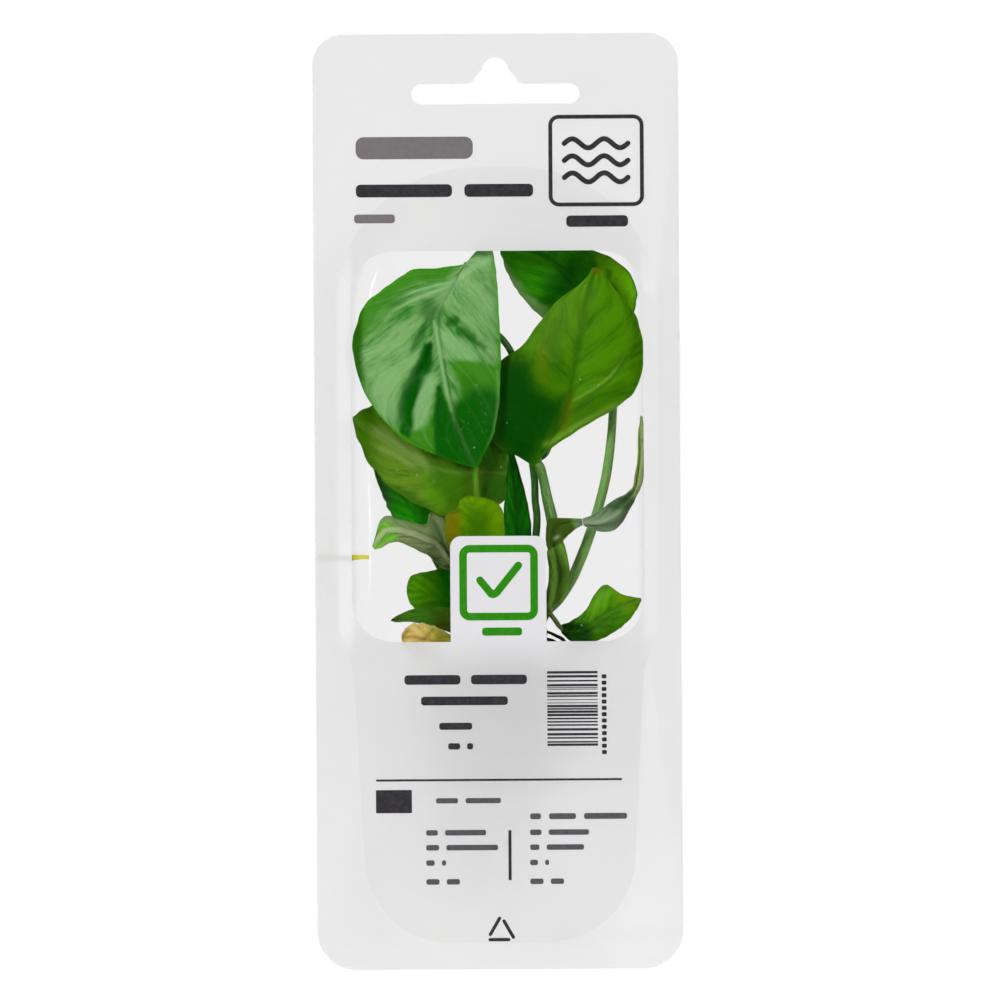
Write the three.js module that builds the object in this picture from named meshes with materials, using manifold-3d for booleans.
// A potted anubias in its hang pack: a clear tray, a clear front film with a white printed sheet on it, and the
// plant in its net pot inside. Millimetres, +Z up. The front faces -Y, and the origin is at the top of the hang
// slot's peg notch, on the plane where the film meets the tray's flange.
import * as THREE from 'three';
import { mergeVertices } from 'three/addons/utils/BufferGeometryUtils.js';
import Module from 'manifold-3d';

const wasm = await Module();
wasm.setup();

// Driving dimensions of the pack
const PACK_WIDTH = 120;
const PACK_TOP = 7.7;
const PACK_BOTTOM = -299.3;
const TOP_CORNER = 10;
const BOTTOM_CORNER = 13;
const WALL = 0.5;
const FILM = 0.3;
const SHEET = 0.15;

// Hang slot: a long slot with round ends, and a notch in its middle for the peg
const SLOT_LENGTH = 55.2;
const SLOT_TOP = -8.6;
const SLOT_HEIGHT = 6.7;
const NOTCH_HALF_WIDTH = 9.2;
const NOTCH_TOP_RADIUS = 4.4;

// Window in the printed sheet, and the tab that stands up into it
const WINDOW_HALF_WIDTH = 48;
const WINDOW_TOP = -63.5;
const WINDOW_BOTTOM = -191.8;
const WINDOW_CORNER = 14;
const TAB_HALF_WIDTH = 15.75;
const TAB_TOP = -157.1;
const TAB_CORNER = 3.6;

// Cavity of the tray: a wide upper part for the leaves and a narrower lower part for the pot
const CAVITY_DEPTH = 55.5;
const CAVITY_HALF_WIDTH = 51.2;
const CAVITY_TOP = -37.6;
const CAVITY_ARCH_RADIUS = 44;
const CAVITY_BOTTOM = -289;
const CAVITY_WAIST_TOP = -186;
const CAVITY_WAIST_BOTTOM = -204;
const CAVITY_LOW_HALF_WIDTH = 46;
const CAVITY_FOOT_HALF_WIDTH = 43;
const CAVITY_FOOT_RADIUS = 27;
const CAVITY_DRAFT = 0.07;
const CAVITY_MOUTH_RADIUS = 1.5;
const CAVITY_BACK_RADIUS = 8;

// Net pot and the plug of growing wool in it
const POT_X = 2;
const POT_Y = 27.6;
const POT_TOP = -195;
const POT_HEIGHT = 50;
const POT_TOP_RADIUS = 26;
const POT_BOTTOM_RADIUS = 20;
const POT_RIM_RADIUS = 27;
const POT_RIM_HEIGHT = 1.6;
const POT_WALL = 1.2;
const POT_HOLE_RADIUS = 12;
const POT_SLOTS = 14;
const POT_SLOT_WIDTH = 4;
const POT_SLOT_HEIGHT = 33;
const WOOL_TOP_DEPTH = 5;
const CLEARANCE = 0.4;

// Plant
const BLADE_THICKNESS = 0.9;
const BLADE_EDGE_THICKNESS = 0.4;
const RHIZOME_RADIUS = 4.3;
const ROOT_RADIUS = 0.9;
const ROUND_SIDES = 6;

const COLOURS = {
  clear: 0xeef3f3,
  sheet: 0xe8e8ea,
  pot: 0x23262a,
  wool: 0xb9ad8a,
  rhizome: 0x5d6b2c,
  root: 0xc9cf9a,
  paleRoot: 0xd3d64a,
  midGreen: 0x2f8a3a,
  darkGreen: 0x1d5c1c,
  olive: 0x4b7a12,
  greyGreen: 0x6f8f58,
  young: 0x6f9a10,
  old: 0xcdbb7a,
  stalk: 0x4f7d38,
  darkStalk: 0x24451c,
};

// Each blade is drawn by three curves from its base to its tip: the midrib and the two margins.
// Points are x, y, z. arch lifts both halves off the midrib, towards the side that the blade shows at the front.
const BLADES = {
  leaf_front_left: {
    colour: 'midGreen', rows: 14, arch: 1.6,
    spine: [[-10.3, 4.7, -67.6], [-14.3, 3.4, -75.2], [-20, 2.6, -85.5], [-18.3, 3, -100.2],
      [-15.7, 3.8, -113.5], [-12.3, 5, -123.2], [-7.1, 6.6, -134.3]],
    left: [[-10.7, 4.8, -67.8], [-19.2, 4.6, -68.8], [-28.1, 4.7, -69.6], [-35.8, 5, -74.6],
      [-43.7, 5.3, -81.2], [-47.3, 5.4, -91.7], [-46.9, 5.4, -99.6], [-42.1, 5.7, -112.6],
      [-31.4, 6.1, -124.5], [-17.6, 6.6, -131.5], [-7.4, 6.7, -134.7]],
    right: [[-10, 4.6, -67.4], [-3, 4.6, -60.7], [-0.4, 5, -67.6], [0.5, 5.2, -79.1], [1.2, 5.4, -94],
      [0.9, 5.8, -109.1], [-0.8, 6.2, -121.6], [-3.3, 6.6, -128], [-6.6, 6.7, -134.6]],
  },
  leaf_right: {
    colour: 'olive', rows: 14, arch: -1.4,
    spine: [[13, 12.2, -133.5], [18, 10, -125.3], [22.9, 8.4, -114.1], [25.2, 7.4, -103], [26.9, 7, -93.7],
      [28.5, 7, -83.9], [30.5, 7.4, -76.6], [32.7, 8, -68.9]],
    left: [[11.9, 12.4, -134.2], [5.4, 11.9, -130.3], [-0.3, 11.6, -127.5], [-4.7, 11.3, -118.2],
      [-3.8, 11, -107.6], [1, 10.6, -99.6], [8.3, 10.1, -94.4], [14.5, 9.5, -86.2], [20.3, 9, -79.5],
      [28.5, 8.4, -73.4], [31.7, 8.1, -68.9]],
    right: [[14.1, 12, -132.7], [16.2, 10.8, -129.6], [23.3, 9, -124.5], [33.2, 7.4, -118.6],
      [41.8, 6.2, -113.2], [46.4, 5.5, -107.7], [48.4, 5.2, -98.2], [47.6, 5.2, -91], [45.2, 5.8, -83.7],
      [38.7, 6.8, -75.7], [33.7, 7.9, -69]],
  },
  leaf_upper_right: {
    colour: 'darkGreen', rows: 12, arch: -1.5,
    spine: [[37.9, 22, -93.7], [33.6, 20, -85.1], [28, 18, -75.9], [20.4, 17, -67.9], [11.8, 16.4, -61.9],
      [1.6, 16, -56.6]],
    left: [[36.9, 22, -93.4], [26.6, 21, -91.7], [14.7, 19, -84.5], [7.9, 17, -77.4], [3.9, 15.6, -70.8],
      [1.5, 15.2, -63.6], [1.1, 15.8, -56.2]],
    right: [[38.9, 22, -93.4], [42.9, 20.8, -88.1], [45.6, 19.4, -82.9], [46.6, 18.4, -77.3],
      [44.8, 17.6, -71.3], [40.5, 17, -66.9], [33.9, 16.4, -63.4], [21.1, 15.9, -60], [2.3, 16, -57.2]],
  },
  leaf_middle_left: {
    colour: 'olive', rows: 12, arch: 1,
    spine: [[2.9, 13, -136.7], [-1.9, 13, -136.1], [-9.1, 12.8, -136.3], [-16.7, 12.3, -135.6],
      [-24, 11.8, -133.3], [-30.6, 11.2, -130.3], [-36.5, 10.6, -126.3], [-42, 9.9, -122],
      [-47.7, 9.2, -118.1]],
    left: [[2.8, 13, -138.1], [2, 13, -145.3], [-5.9, 12.8, -150.6], [-16.8, 12.4, -150.7],
      [-25.7, 11.9, -147.1], [-33.3, 11.4, -142.6], [-40.7, 10.7, -135.3], [-45.4, 10, -126.7],
      [-47.8, 9.3, -118.6]],
    right: [[3.3, 13, -134.8], [3.1, 13.3, -129.3], [-2.4, 13.2, -121.8], [-14.6, 12.9, -117.6],
      [-25.2, 12.4, -114.9], [-32.8, 11.8, -113.2], [-38.7, 11, -113.2], [-43.7, 10.1, -114.9],
      [-47.6, 9.2, -117.5]],
  },
  leaf_behind_left: {
    colour: 'darkGreen', rows: 9, arch: 1,
    spine: [[-21.6, 21, -160.1], [-23.9, 20.6, -155.8], [-27.5, 20, -150.1], [-30.8, 19.4, -145.1],
      [-34.4, 18.9, -140.8], [-37.7, 18.4, -136.5], [-41, 18, -132.8]],
    left: [[-23.3, 21, -160.5], [-29.2, 20.2, -157.1], [-33.7, 19.4, -152.4], [-36.3, 18.8, -147.8],
      [-38.3, 18.4, -142.9], [-40.1, 18.1, -138.1], [-41.4, 18, -133.1]],
    right: [[-20, 21, -160.1], [-19.8, 21, -155.2], [-20.2, 20.6, -149.5], [-23.5, 20.2, -143.5],
      [-29.1, 19.6, -138.5], [-35, 18.9, -134.5], [-40.6, 18.1, -132.5]],
  },
  leaf_curled: {
    colour: 'greyGreen', rows: 11, arch: 1.2,
    spine: [[-15, 18.4, -168.1], [-16.6, 16.6, -165.1], [-18.6, 14.8, -162.1], [-20.5, 13.2, -159.7],
      [-22.5, 11.8, -158.6], [-25.1, 11, -157.6], [-28.7, 10, -156.2], [-31.7, 9.2, -155.4],
      [-34.6, 8.5, -155], [-37.3, 8, -155.6], [-39.2, 7.5, -157.8], [-41, 7, -160.9]],
    left: [[-16, 18, -169.1], [-17.1, 16, -168.2], [-18.9, 14.2, -167.4], [-20.9, 12.4, -165.5],
      [-23.2, 10.6, -163.5], [-25.8, 9.8, -162.2], [-28.7, 9, -160.7], [-31.4, 8.4, -159.4],
      [-33.7, 7.8, -158.9], [-35.9, 7.2, -159.4], [-38.3, 6.9, -160.7], [-40.7, 6.8, -161.4]],
    right: [[-14, 16.4, -167.1], [-14.3, 16, -160.1], [-16.2, 15.4, -151.2], [-19.6, 14.8, -148.2],
      [-22.4, 14.2, -149.8], [-23.8, 13.6, -153.3], [-28.7, 12.6, -152.5], [-32.7, 11.8, -151.5],
      [-36.3, 10.8, -150.2], [-38.9, 9.8, -152], [-40.4, 8.6, -156.6], [-41.4, 7.3, -160.4]],
  },
  leaf_young: {
    colour: 'young', rows: 9, arch: 0.8,
    spine: [[-3.9, 12, -178.3], [-4.7, 9.6, -170], [-5.6, 7.6, -161.8], [-6.6, 6.2, -155.2],
      [-7.5, 5.2, -150.5], [-8.5, 4.8, -147.9], [-9.2, 4.4, -145.8], [-9.8, 4.2, -143.9]],
    left: [[-4.8, 12, -178.3], [-12, 9.4, -170], [-16.2, 7.6, -161.7], [-17.4, 6.4, -155.1],
      [-16.9, 5.8, -150.2], [-13.6, 5.2, -148.5], [-12.6, 4.6, -145.6], [-10.8, 4.3, -144.1]],
    right: [[-3.1, 12, -178.4], [1.6, 9.4, -170.1], [2.3, 7.6, -161.8], [2.1, 6.4, -155.2], [1.8, 5.6, -149.9],
      [0.4, 5.1, -147], [-3.2, 4.7, -144.9], [-8.8, 4.3, -143.9]],
  },
  leaf_narrow: {
    colour: 'darkGreen', rows: 8, arch: 0.6,
    spine: [[6.2, 24, -182.6], [6.4, 23.4, -168.6], [6.5, 22.6, -157], [6, 22, -147], [5.4, 21.4, -138],
      [4.1, 20.8, -130.7], [2.5, 20, -124.4]],
    left: [[5.4, 24, -182.6], [2.2, 23.4, -170.3], [1.6, 22.6, -158.6], [2.2, 22, -147], [2.9, 21.4, -138.7],
      [3.1, 20.8, -131.4], [2.2, 20, -124.6]],
    right: [[6.9, 24, -182.6], [10.5, 23.4, -170.3], [11.1, 22.6, -157], [9.9, 22, -147], [7.7, 21.4, -138.1],
      [5.5, 20.8, -130.7], [2.8, 20, -124.3]],
  },
  leaf_low_left: {
    colour: 'darkGreen', rows: 8, arch: 1,
    spine: [[-1.3, 20, -184.2], [-9.1, 18.2, -181.4], [-17.2, 16.2, -178.3], [-24, 14.4, -176.1],
      [-30.2, 13.6, -174.7]],
    left: [[-1.5, 20, -185], [-8.2, 18, -188], [-17.1, 15.6, -186.9], [-25.3, 14, -182.6], [-29, 13.6, -179.4],
      [-30.3, 13.6, -175.6]],
    right: [[-1.3, 20, -183.2], [-8.1, 18.6, -176.8], [-16, 16.4, -168.4], [-23.2, 14.6, -168.9],
      [-28.7, 13.8, -170.3], [-30.3, 13.6, -174.1]],
  },
  leaf_low_dark: {
    colour: 'darkGreen', rows: 8, arch: 0.5,
    spine: [[-4, 13, -190], [-12, 11.6, -187], [-20, 10, -184.4], [-28, 8.6, -183.4], [-35.4, 7.6, -184.7]],
    left: [[-4.5, 12.8, -190.8], [-12.2, 11, -190.2], [-19.7, 9.4, -187.4], [-28.2, 8.2, -185.2],
      [-35.5, 7.6, -185]],
    right: [[-3.8, 13.2, -189.2], [-11, 12, -182.6], [-20, 10.6, -180.4], [-28.5, 9, -181.3],
      [-35.2, 7.7, -184.3]],
  },
  leaf_old: {
    colour: 'old', rows: 8, arch: 0.8,
    spine: [[-7.5, 9, -190.3], [-14.4, 6.6, -191.5], [-19.3, 5.2, -191.8], [-24.6, 3.8, -190.7],
      [-28.5, 2.9, -190.1], [-31.9, 2.4, -190.2]],
    left: [[-7.6, 8.6, -191.1], [-14.4, 5, -194.3], [-20, 3.6, -196.5], [-25.9, 2.6, -196.5],
      [-29.7, 2.1, -194.4], [-31.8, 2.3, -191.5]],
    right: [[-7.6, 9.4, -189.2], [-14.7, 7.4, -189.9], [-19, 6, -187.7], [-24.2, 4.6, -185.9],
      [-28.5, 3.4, -186.1], [-31.7, 2.5, -188.7]],
  },
  leaf_twisted: {
    colour: 'greyGreen', rows: 11, arch: 0.6,
    spine: [[28.1, 8.9, -152.7], [31, 8.2, -152.5], [34.6, 7.8, -152.1], [38.9, 7.8, -149.8],
      [42.6, 8.6, -146.2], [45.1, 9.4, -142.8], [46.7, 10, -139], [47.3, 11, -133.4], [47.5, 12, -125.8],
      [47.5, 13, -117.9]],
    left: [[27.9, 8.6, -151.6], [30.9, 7.2, -150.5], [34.3, 5.8, -148.4], [38.3, 5.2, -145.4],
      [42.1, 6.2, -143.6], [44.7, 7.6, -141.3], [45.6, 8.8, -137], [46.4, 10, -130.1], [46.5, 11.6, -123.5],
      [47.3, 13, -117.9]],
    right: [[28.2, 9.2, -153.9], [31, 9.8, -155.1], [35, 10.2, -156], [39.4, 10.8, -154.8],
      [43.1, 11.2, -149.4], [45.8, 11.6, -144.4], [47.5, 12, -140.3], [48.3, 12.6, -135], [48.6, 13, -127.4],
      [47.9, 13.3, -118]],
  },
  sheath_twisted: {
    colour: 'olive', rows: 9, arch: -1,
    spine: [[17.2, 12, -181.1], [19, 11.4, -176.5], [19.7, 10.8, -170.2], [19.1, 10.2, -163.6],
      [18.3, 9.6, -158], [20.1, 9.2, -154.2], [23.8, 9, -153.1], [27.8, 8.8, -152.7]],
    left: [[16.6, 11.6, -181.1], [16.5, 10.8, -176.5], [16.9, 10, -170.2], [16.2, 9.4, -163.6],
      [15.8, 9, -157], [16.8, 8.6, -151.9], [22.5, 8.6, -151.4], [27.7, 8.5, -151.6]],
    right: [[18, 12, -181.1], [21.8, 11, -177.8], [23.7, 10.4, -171.9], [23, 9.8, -164.6], [21.8, 9.4, -159.2],
      [23.1, 9.2, -157.2], [25.4, 9, -155.2], [27.9, 9, -153.8]],
  },
  leaf_low_right: {
    colour: 'midGreen', rows: 11, arch: -0.9,
    spine: [[20.6, 10.6, -188.4], [25.2, 9.4, -188.7], [30.2, 8.2, -187.1], [34.4, 7.2, -184.1],
      [38.7, 6.4, -181.8], [43, 5.8, -179.8], [47, 5.4, -178.3]],
    left: [[20.2, 10.8, -186.9], [24.3, 10, -185.2], [28.7, 9, -181.9], [31.9, 8, -176.4], [35.5, 6.8, -173.4],
      [40.7, 6, -176.6], [47, 5.4, -177.9]],
    right: [[20.9, 10.4, -189.5], [24.4, 8.6, -192.3], [30.4, 6.8, -192.5], [37, 5.8, -189.7],
      [42.5, 5.2, -185.6], [45.6, 5, -181.5], [47.1, 5.4, -178.7]],
  },
};

// Leaf stalks: the curve of each one's centre line, from the rhizome to just short of its blade, and its radius
const STALKS = {
  stalk_front_left: { colour: 'darkStalk', radius: 1.25,
    path: [[8.4, 22, -190.2], [12.6, 18, -156], [12.3, 17, -145.4], [11.7, 16, -134.8], [8.2, 14.4, -113.9],
      [5, 12.8, -97.4], [-2, 9.4, -89], [-10, 7.2, -86]] },
  stalk_right: { colour: 'stalk', radius: 2.2,
    path: [[12.9, 23.4, -189.8], [13.6, 22, -185.3], [15.9, 20.6, -180.9], [18, 19.4, -176],
      [18.7, 17.8, -170.3], [18.4, 16.2, -158.7], [17.8, 15.2, -152.1], [16.3, 14.4, -145.4],
      [15.1, 13.6, -139.1], [13.9, 13.1, -134.8]] },
  stalk_upper_right: { colour: 'stalk', radius: 1.6,
    path: [[13.6, 28.4, -190.1], [14.3, 27.2, -185.4], [16.6, 25.4, -181.7], [20.1, 23.2, -178.2],
      [24.3, 20.8, -171.7], [27.8, 19.2, -163.7], [30.5, 18.2, -156.5], [33.4, 17.4, -147.5],
      [35.9, 17, -137.3], [37.6, 17, -124.7], [38.4, 17.6, -114.1], [39.1, 19.4, -104.4], [37.8, 22, -94.2]] },
  stalk_middle_left: { colour: 'young', radius: 1.1,
    path: [[4.1, 21, -190.4], [-0.1, 14.6, -177.1], [-3.7, 11.4, -160.2], [-6.9, 9.8, -145.3],
      [-7.4, 10.2, -130.4]] },
  stalk_behind_left: { colour: 'stalk', radius: 1,
    path: [[1.5, 28, -190.4], [-8, 28.5, -182], [-18, 25, -170.4], [-22.6, 21.6, -161.5]] },
  stalk_curled: { colour: 'greyGreen', radius: 1,
    path: [[-6.5, 26.6, -190.4], [-8, 25, -182.5], [-11, 22, -174.5], [-14.2, 19, -169.1]] },
  stalk_young: { colour: 'young', radius: 0.9,
    path: [[0.3, 20.6, -190.4], [-2.5, 15, -184.4], [-3.8, 12.4, -179.3]] },
  stalk_narrow: { colour: 'darkStalk', radius: 1,
    path: [[7.3, 28, -190.4], [6.8, 25.6, -187.3], [6.3, 24.3, -183.5]] },
  stalk_low_left: { colour: 'stalk', radius: 0.9,
    path: [[-5.5, 23.4, -190.4], [-1.6, 23, -188], [0.2, 20.8, -184.4]] },
  stalk_low_dark: { colour: 'darkStalk', radius: 0.8,
    path: [[-9, 22, -190.8], [-6.4, 17.8, -190.4], [-4.2, 13.9, -190.1]] },
  stalk_old: { colour: 'old', radius: 0.9,
    path: [[-13.4, 22.6, -191.4], [-12.4, 15, -192.8], [-8, 9.8, -190.8]] },
  stalk_twisted: { colour: 'olive', radius: 0.8,
    path: [[14.1, 19, -190.4], [14.2, 16.4, -186.8], [15.2, 14, -184], [16.8, 12.5, -182.1]] },
  stalk_low_right: { colour: 'darkStalk', radius: 0.8,
    path: [[12, 17, -190.6], [13.5, 12.5, -187.4], [16.2, 8.6, -182.9], [18.1, 8.6, -184.4],
      [19.8, 9.8, -186.9]] },
};

// Roots that hang out of the pot's open bottom: where each one starts, and how far it hangs and sways
const ROOTS = [
  { x: -5, y: 24, length: 24, sway: 3 },
  { x: 1, y: 31, length: 27, sway: -4 },
  { x: 5, y: 22, length: 20, sway: 4 },
  { x: 9, y: 29, length: 25, sway: -3 },
  { x: -4, y: 33, length: 18, sway: 5 },
  { x: 2, y: 26, length: 29, sway: 2 },
];

// Short piece of root clamped at the left edge, half on the flange and half in the cavity
const CLAMPED_ROOT = { left: -58.5, right: -42.4, z: -163.9, height: 2.2, thickness: 0.3 };

function material(colour, roughness, opacity = 1) {
  return new THREE.MeshStandardMaterial({
    color: COLOURS[colour], roughness, metalness: 0, opacity, transparent: opacity < 1,
  });
}

function named(name, geometry, colour, roughness, opacity) {
  const mesh = new THREE.Mesh(geometry, material(colour, roughness, opacity));
  mesh.name = name;
  return mesh;
}

// Solids for joining and cutting

function toSolid(geometry) {
  const bare = geometry.clone();
  bare.deleteAttribute('normal');
  bare.deleteAttribute('uv');
  const merged = mergeVertices(bare);
  return new wasm.Manifold(new wasm.Mesh({
    numProp: 3,
    vertProperties: new Float32Array(merged.attributes.position.array),
    triVerts: new Uint32Array(merged.index.array),
  }));
}

function toGeometry(solid) {
  const mesh = solid.getMesh();
  const geometry = new THREE.BufferGeometry();
  geometry.setAttribute('position', new THREE.BufferAttribute(new Float32Array(mesh.vertProperties), 3));
  geometry.setIndex(new THREE.BufferAttribute(new Uint32Array(mesh.triVerts), 1));
  geometry.computeVertexNormals();
  return geometry;
}

// Flat sheets, drawn in x and z and given their thickness along y

function packOutline() {
  const half = PACK_WIDTH / 2;
  const shape = new THREE.Shape();
  shape.absarc(half - TOP_CORNER, PACK_TOP - TOP_CORNER, TOP_CORNER, 0, Math.PI / 2);
  shape.absarc(TOP_CORNER - half, PACK_TOP - TOP_CORNER, TOP_CORNER, Math.PI / 2, Math.PI);
  shape.absarc(BOTTOM_CORNER - half, PACK_BOTTOM + BOTTOM_CORNER, BOTTOM_CORNER, Math.PI, 1.5 * Math.PI);
  shape.absarc(half - BOTTOM_CORNER, PACK_BOTTOM + BOTTOM_CORNER, BOTTOM_CORNER, 1.5 * Math.PI, 2 * Math.PI);
  shape.closePath();
  return shape;
}

function hangSlot() {
  const radius = SLOT_HEIGHT / 2;
  const end = SLOT_LENGTH / 2 - radius;
  const middle = SLOT_TOP - radius;
  const foot = NOTCH_HALF_WIDTH;
  const crown = NOTCH_TOP_RADIUS;
  const hole = new THREE.Path();
  hole.moveTo(-end, SLOT_TOP);
  hole.absarc(-end, middle, radius, Math.PI / 2, 1.5 * Math.PI, false);
  hole.absarc(end, middle, radius, -Math.PI / 2, Math.PI / 2, false);
  hole.lineTo(foot, SLOT_TOP);
  hole.quadraticCurveTo(foot - 1.5, SLOT_TOP, foot - 2.4, SLOT_TOP + 1.8);
  hole.lineTo(crown, -crown + 0.6);
  hole.absarc(0, -crown, crown, 0.14, Math.PI - 0.14, false);
  hole.lineTo(2.4 - foot, SLOT_TOP + 1.8);
  hole.quadraticCurveTo(1.5 - foot, SLOT_TOP, -foot, SLOT_TOP);
  hole.closePath();
  return hole;
}

function windowHole() {
  const half = WINDOW_HALF_WIDTH;
  const corner = WINDOW_CORNER;
  const top = WINDOW_TOP - corner;
  const bottom = WINDOW_BOTTOM + corner;
  const hole = new THREE.Path();
  hole.absarc(half - corner, top, corner, 0, Math.PI / 2, false);
  hole.absarc(corner - half, top, corner, Math.PI / 2, Math.PI, false);
  hole.absarc(corner - half, bottom, corner, Math.PI, 1.5 * Math.PI, false);
  hole.lineTo(-TAB_HALF_WIDTH, WINDOW_BOTTOM);
  hole.absarc(TAB_CORNER - TAB_HALF_WIDTH, TAB_TOP - TAB_CORNER, TAB_CORNER, Math.PI, Math.PI / 2, true);
  hole.absarc(TAB_HALF_WIDTH - TAB_CORNER, TAB_TOP - TAB_CORNER, TAB_CORNER, Math.PI / 2, 0, true);
  hole.lineTo(TAB_HALF_WIDTH, WINDOW_BOTTOM);
  hole.absarc(half - corner, bottom, corner, 1.5 * Math.PI, 2 * Math.PI, false);
  hole.closePath();
  return hole;
}

function flatSheet(holes, back, thickness) {
  const shape = packOutline();
  shape.holes = holes;
  const geometry = new THREE.ExtrudeGeometry(shape, {
    depth: thickness, bevelEnabled: false, curveSegments: 4,
  });
  geometry.rotateX(Math.PI / 2);
  geometry.translate(0, back, 0);
  return geometry;
}

// Closed body through rings of equal length, one ring a list of points
function loft(rings) {
  const count = rings[0].length;
  const positions = rings.flat().map((point) => point.toArray()).flat();
  const index = [];
  for (let ring = 0; ring < rings.length - 1; ring += 1) {
    for (let i = 0; i < count; i += 1) {
      const a = ring * count + i;
      const b = ring * count + (i + 1) % count;
      index.push(a, b, a + count, b, b + count, a + count);
    }
  }
  const ends = [[rings[0], 0, false], [rings.at(-1), (rings.length - 1) * count, true]];
  for (const [ring, start, last] of ends) {
    const middle = ring.reduce((sum, point) => sum.add(point), new THREE.Vector3()).divideScalar(count);
    const centre = positions.length / 3;
    positions.push(...middle.toArray());
    for (let i = 0; i < count; i += 1) {
      const a = start + i;
      const b = start + (i + 1) % count;
      index.push(...(last ? [a, b, centre] : [b, a, centre]));
    }
  }
  const geometry = new THREE.BufferGeometry();
  geometry.setAttribute('position', new THREE.Float32BufferAttribute(positions, 3));
  geometry.setIndex(index);
  geometry.computeVertexNormals();
  return geometry;
}

function arc(centreX, centreZ, radius, from, to, steps) {
  const points = [];
  for (let i = 0; i <= steps; i += 1) {
    const angle = from + (to - from) * i / steps;
    points.push([centreX + radius * Math.cos(angle), centreZ + radius * Math.sin(angle)]);
  }
  return points;
}

// Half of the cavity's outline, drawn in by inset, from the top of the arch down the right side
function cavityHalf(inset) {
  const upper = CAVITY_HALF_WIDTH - inset;
  const lower = CAVITY_LOW_HALF_WIDTH - inset;
  const foot = CAVITY_FOOT_HALF_WIDTH - inset;
  const arch = CAVITY_ARCH_RADIUS - inset;
  const footRadius = CAVITY_FOOT_RADIUS - inset;
  const top = CAVITY_TOP - inset;
  const bottom = CAVITY_BOTTOM + inset;
  const waistMiddle = (CAVITY_WAIST_TOP + CAVITY_WAIST_BOTTOM) / 2;
  const waistWidth = (upper + lower) / 2;
  return [
    ...arc(upper - arch, top - arch, arch, Math.PI / 2, 0, 7),
    [upper, CAVITY_WAIST_TOP],
    [waistWidth, waistMiddle],
    [lower, CAVITY_WAIST_BOTTOM],
    ...arc(foot - footRadius, bottom + footRadius, footRadius, 0, -Math.PI / 2, 6),
  ];
}

function cavityRing(y, inset) {
  const right = cavityHalf(inset);
  const left = right.map(([x, z]) => [-x, z]).reverse();
  return [...right, ...left].map(([x, z]) => new THREE.Vector3(x, y, z));
}

// Rings of the cavity's surface from front to back: a rounded mouth, drafted walls and a rounded back edge
function cavityRings(start, skin) {
  const rings = [cavityRing(start, -CAVITY_MOUTH_RADIUS - skin)];
  for (const turn of [0.5, 1]) {
    const angle = turn * Math.PI / 2;
    rings.push(cavityRing(
      skin + CAVITY_MOUTH_RADIUS * (1 - Math.cos(angle)),
      -CAVITY_MOUTH_RADIUS * (1 - Math.sin(angle)) - skin,
    ));
  }
  for (const turn of [0, 0.5, 1]) {
    const angle = turn * Math.PI / 2;
    const y = CAVITY_DEPTH - CAVITY_BACK_RADIUS * (1 - Math.sin(angle));
    const inset = y * CAVITY_DRAFT + CAVITY_BACK_RADIUS * (1 - Math.cos(angle));
    rings.push(cavityRing(y + skin * Math.sin(angle), inset - skin * Math.cos(angle)));
  }
  return rings;
}

function trayGeometry() {
  const flange = flatSheet([hangSlot()], WALL, WALL);
  const outside = loft(cavityRings(0, WALL));
  const inside = loft(cavityRings(-WALL, 0));
  const root = CLAMPED_ROOT;
  const groove = new THREE.BoxGeometry(9, WALL, root.height + CLEARANCE);
  groove.translate(root.left - CLEARANCE + 4.5, root.thickness + 0.1 - WALL / 2, root.z);
  return toGeometry(
    toSolid(flange).add(toSolid(outside)).subtract(toSolid(inside)).subtract(toSolid(groove)),
  );
}

// Round pieces

function lathe(profile, segments) {
  const geometry = new THREE.LatheGeometry(profile.map(([r, z]) => new THREE.Vector2(r, z)), segments);
  geometry.rotateX(Math.PI / 2);
  return geometry;
}

function potGeometry() {
  const top = 0;
  const bottom = -POT_HEIGHT;
  const cup = lathe([
    [POT_HOLE_RADIUS, bottom],
    [POT_BOTTOM_RADIUS, bottom],
    [POT_TOP_RADIUS, top - POT_RIM_HEIGHT],
    [POT_RIM_RADIUS, top - POT_RIM_HEIGHT],
    [POT_RIM_RADIUS, top],
    [POT_TOP_RADIUS - POT_WALL, top],
    [POT_BOTTOM_RADIUS - POT_WALL, bottom + POT_WALL],
    [POT_HOLE_RADIUS, bottom + POT_WALL],
    [POT_HOLE_RADIUS, bottom],
  ], 32);
  let pot = toSolid(cup);
  for (let i = 0; i < POT_SLOTS; i += 1) {
    const angle = (i + 0.5) * 2 * Math.PI / POT_SLOTS;
    const slot = new THREE.BoxGeometry(POT_TOP_RADIUS, POT_SLOT_WIDTH, POT_SLOT_HEIGHT);
    slot.translate(POT_TOP_RADIUS, 0, bottom + 5 + POT_SLOT_HEIGHT / 2);
    slot.rotateZ(angle);
    pot = pot.subtract(toSolid(slot));
  }
  return toGeometry(pot);
}

function woolGeometry() {
  const draft = (POT_TOP_RADIUS - POT_BOTTOM_RADIUS) / POT_HEIGHT;
  const inner = (z) => POT_TOP_RADIUS - POT_WALL - CLEARANCE * 2 + z * draft;
  const top = -WOOL_TOP_DEPTH;
  const bottom = -POT_HEIGHT + POT_WALL + CLEARANCE;
  return lathe([
    [0, bottom],
    [inner(bottom), bottom],
    [inner(top - 1), top - 1],
    [inner(top) - 1.2, top],
    [0, top],
  ], 32);
}

function curve(points) {
  return new THREE.CatmullRomCurve3(points.map((p) => new THREE.Vector3(...p)), false, 'catmullrom');
}

function tube(points, radius, steps) {
  const section = new THREE.Shape();
  section.absarc(0, 0, radius, 0, 2 * Math.PI);
  return new THREE.ExtrudeGeometry(section, {
    steps, extrudePath: curve(points), bevelEnabled: false, curveSegments: ROUND_SIDES / 2,
  });
}

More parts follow.
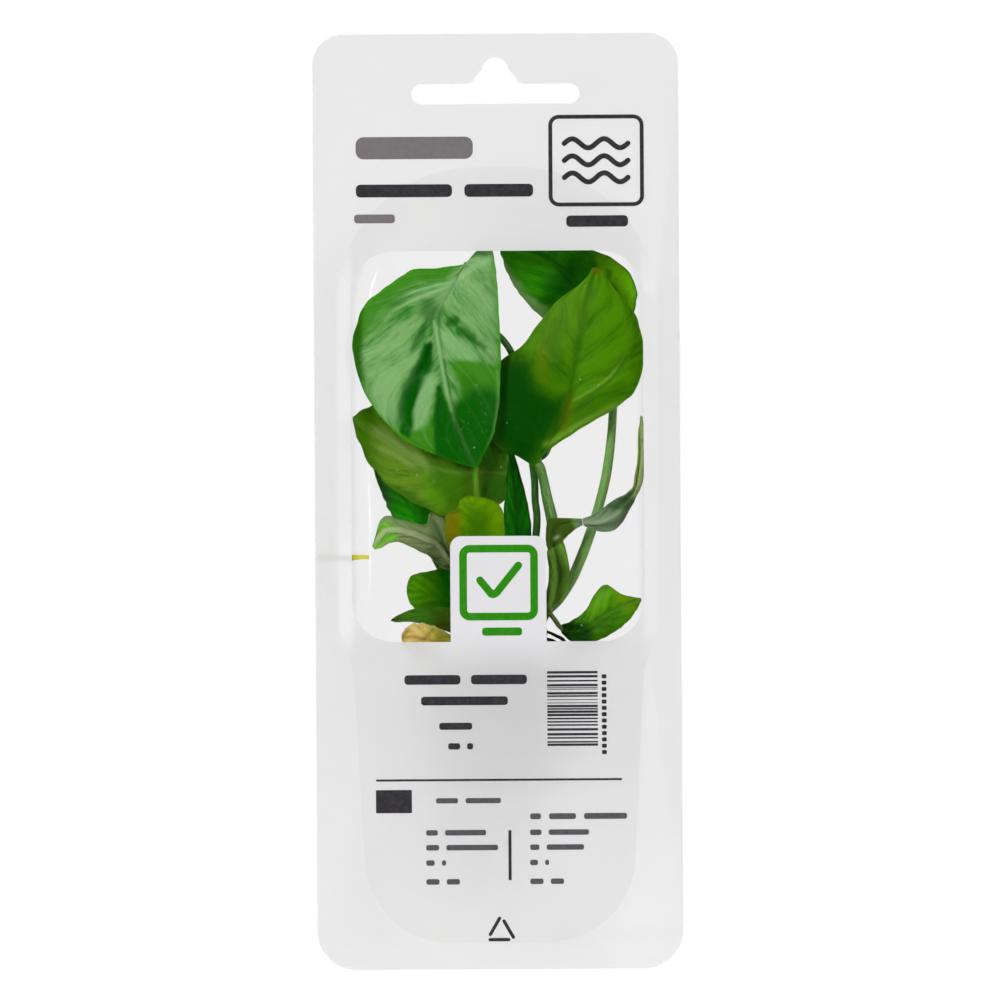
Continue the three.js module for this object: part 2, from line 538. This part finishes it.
function rootGeometry({ x, y, length, sway }) {
  const top = POT_TOP - POT_HEIGHT + POT_WALL + CLEARANCE - 0.3;
  return tube([
    [x, y, top],
    [x + sway * 0.4, y, top - length * 0.35],
    [x - sway * 0.2, y + sway * 0.5, top - length * 0.7],
    [x + sway * 0.7, y + sway * 0.3, top - length],
  ], ROOT_RADIUS, 6);
}

// Leaf blades

// Grid of surface points and normals: rows from base to tip, columns from the left margin to the right one
function bladeGrid({ spine, left, right, rows, arch }) {
  const sideColumns = rows > 11 ? 4 : 3;
  const [midrib, leftMargin, rightMargin] = [spine, left, right].map(curve);
  const pointAt = (t, v) => {
    const middle = midrib.getPoint(t);
    const margin = (v < 0 ? leftMargin : rightMargin).getPoint(t);
    const width = rightMargin.getPoint(t).sub(leftMargin.getPoint(t));
    const lift = midrib.getTangent(t).cross(width).normalize();
    const along = Math.abs(v);
    const ends = Math.sin(Math.PI * t);
    return middle.lerp(margin, along).addScaledVector(lift, 4 * arch * along * (1 - along) * ends);
  };
  const grid = [];
  const step = 0.001;
  for (let row = 0; row <= rows; row += 1) {
    const t = row / rows;
    const line = [];
    for (let column = -sideColumns; column <= sideColumns; column += 1) {
      const v = column / sideColumns;
      const forward = pointAt(Math.min(t + step, 1), v).sub(pointAt(Math.max(t - step, 0), v));
      const across = pointAt(t, Math.min(v + step, 1)).sub(pointAt(t, Math.max(v - step, -1)));
      const thickness = THREE.MathUtils.lerp(BLADE_THICKNESS, BLADE_EDGE_THICKNESS, Math.abs(v));
      line.push({ point: pointAt(t, v), normal: forward.cross(across).normalize(), half: thickness / 2 });
    }
    grid.push(line);
  }
  return grid;
}

// Thin closed body around the grid: a skin on each side, joined round the margin
function bladeGeometry(blade) {
  const grid = bladeGrid(blade);
  const columns = grid[0].length;
  const faces = [1, -1].map((side) => grid.flat().map(
    ({ point, normal, half }) => point.clone().addScaledVector(normal, side * half),
  ));
  const positions = faces.flat().map((point) => point.toArray()).flat();
  const below = grid.length * columns;
  const index = [];
  for (let row = 0; row < grid.length - 1; row += 1) {
    for (let column = 0; column < columns - 1; column += 1) {
      const a = row * columns + column;
      const b = a + 1;
      const c = a + columns;
      const d = c + 1;
      index.push(a, c, b, b, c, d);
      index.push(a + below, b + below, c + below, b + below, d + below, c + below);
    }
  }
  const rim = [];
  for (let row = 0; row < grid.length; row += 1) {
    rim.push(row * columns);
  }
  for (let column = 1; column < columns; column += 1) {
    rim.push((grid.length - 1) * columns + column);
  }
  for (let row = grid.length - 2; row >= 0; row -= 1) {
    rim.push(row * columns + columns - 1);
  }
  for (let column = columns - 2; column > 0; column -= 1) {
    rim.push(column);
  }
  rim.forEach((a, i) => {
    const b = rim[(i + 1) % rim.length];
    index.push(a, a + below, b, b, a + below, b + below);
  });
  const geometry = new THREE.BufferGeometry();
  geometry.setAttribute('position', new THREE.Float32BufferAttribute(positions, 3));
  geometry.setIndex(index);
  geometry.computeVertexNormals();
  return geometry;
}

// The pack
const pack = new THREE.Group();
pack.add(named('tray', trayGeometry(), 'clear', 0.15, 0.3));
pack.add(named('front_film', flatSheet([hangSlot()], 0, FILM), 'clear', 0.12, 0.25));
pack.add(named('printed_sheet', flatSheet([hangSlot(), windowHole()], -FILM, SHEET), 'sheet', 0.45, 0.9));

// The pot and its plug, in a frame of their own at the middle of the pot's rim
const pot = new THREE.Group();
pot.position.set(POT_X, POT_Y, POT_TOP);
pot.add(named('net_pot', potGeometry(), 'pot', 0.5));
pot.add(named('growing_wool', woolGeometry(), 'wool', 0.95));

// The plant
const plant = new THREE.Group();
plant.add(named('rhizome', tube([[-13, 27, -195.3], [2, 26, -195.3], [22, 25, -195.3]], RHIZOME_RADIUS, 10),
  'rhizome', 0.7));
ROOTS.forEach((root, i) => {
  plant.add(named(`root_${i + 1}`, rootGeometry(root), 'root', 0.6));
});
for (const [name, blade] of Object.entries(BLADES)) {
  plant.add(named(name, bladeGeometry(blade), blade.colour, 0.35));
}
for (const [name, stalk] of Object.entries(STALKS)) {
  plant.add(named(name, tube(stalk.path, stalk.radius, 2 * stalk.path.length), stalk.colour, 0.45));
}
const clamped = new THREE.BoxGeometry(
  CLAMPED_ROOT.right - CLAMPED_ROOT.left, CLAMPED_ROOT.thickness, CLAMPED_ROOT.height, 6, 1, 1,
);
clamped.translate((CLAMPED_ROOT.left + CLAMPED_ROOT.right) / 2, CLAMPED_ROOT.thickness / 2 + 0.04, CLAMPED_ROOT.z);
plant.add(named('root_clamped', clamped, 'paleRoot', 0.5));

const object = new THREE.Group();
object.add(pack, pot, plant);
export default object;
